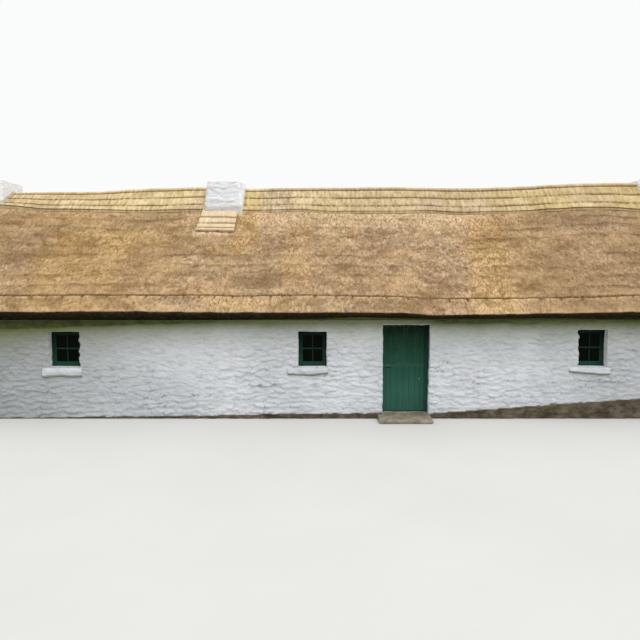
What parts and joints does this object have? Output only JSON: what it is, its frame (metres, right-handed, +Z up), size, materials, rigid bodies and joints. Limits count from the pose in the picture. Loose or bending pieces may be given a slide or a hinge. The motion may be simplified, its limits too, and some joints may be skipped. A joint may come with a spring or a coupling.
{
  "type": "thatched cottage",
  "caption": "Long low whitewashed stone cottage with a thatched roof, chimneys on the ridge, small paned windows and a half-door that opens inwards.",
  "frame": {"origin": "centre of the plan at the underside of the floor, on the lowest ground", "axes": "+Z up, -Y out of the front wall with the half-door, +X along the ridge, to the right seen from the front"},
  "size_m": [17.84, 6.44, 5.49],
  "materials": {
    "whitewash": "limewashed rubble",
    "bare_stone": "worn",
    "thatch": "weathered straw",
    "straw": "fresh straw",
    "timber": "sawn",
    "green_paint": "painted",
    "window_glass": "clear",
    "iron": "painted"
  },
  "bodies": {
    "house": {"back_apron": "straw", "back_rafters": "timber", "back_thatch": "thatch", "back_wall": "whitewash", "collar_1": "timber", "collar_2": "timber", "collar_3": "timber", "collar_4": "timber", "collar_5": "timber", "door_frame": "green_paint", "doorstep": "bare_stone", "floor": "bare_stone", "front_apron": "straw", "front_rafters": "timber", "front_thatch": "thatch", "front_wall_left": "whitewash", "front_wall_over_door": "whitewash", "front_wall_right": "whitewash", "glass_1": "window_glass", "glass_2": "window_glass", "glass_3": "window_glass", "glass_4": "window_glass", "glass_5": "window_glass", "hinge_pin_1": "iron", "hinge_pin_2": "iron", "hinge_pin_3": "iron", "hinge_pin_4": "iron", "left_chimney": "whitewash", "left_gable": "whitewash", "middle_chimney": "whitewash", "ridge_beam_left": "timber", "ridge_beam_right": "timber", "ridge_cap_left": "straw", "ridge_cap_right": "straw", "right_chimney": "whitewash", "right_gable": "whitewash", "sill_1": "whitewash", "sill_2": "whitewash", "sill_3": "whitewash", "sill_4": "whitewash", "sill_5": "whitewash", "threshold": "bare_stone", "window_frame_1": "green_paint", "window_frame_2": "green_paint", "window_frame_3": "green_paint", "window_frame_4": "green_paint", "window_frame_5": "green_paint"},
    "lower_door": {"door_lower_leaf": "green_paint", "door_knob": "iron", "hinge_strap_1": "iron", "hinge_strap_2": "iron"},
    "upper_door": {"door_upper_leaf": "green_paint", "hinge_strap_3": "iron", "hinge_strap_4": "iron"}
  },
  "joints": [
    {"name": "lower_door_hinge", "type": "hinge", "parent": "house", "child": "lower_door", "pos_m": [1.158, -2.572, 0.64], "axis": [0, 0, 1], "range_deg": [0, 90]},
    {"name": "upper_door_hinge", "type": "hinge", "parent": "house", "child": "upper_door", "pos_m": [1.158, -2.572, 1.54], "axis": [0, 0, 1], "range_deg": [0, 90]}
  ]
}
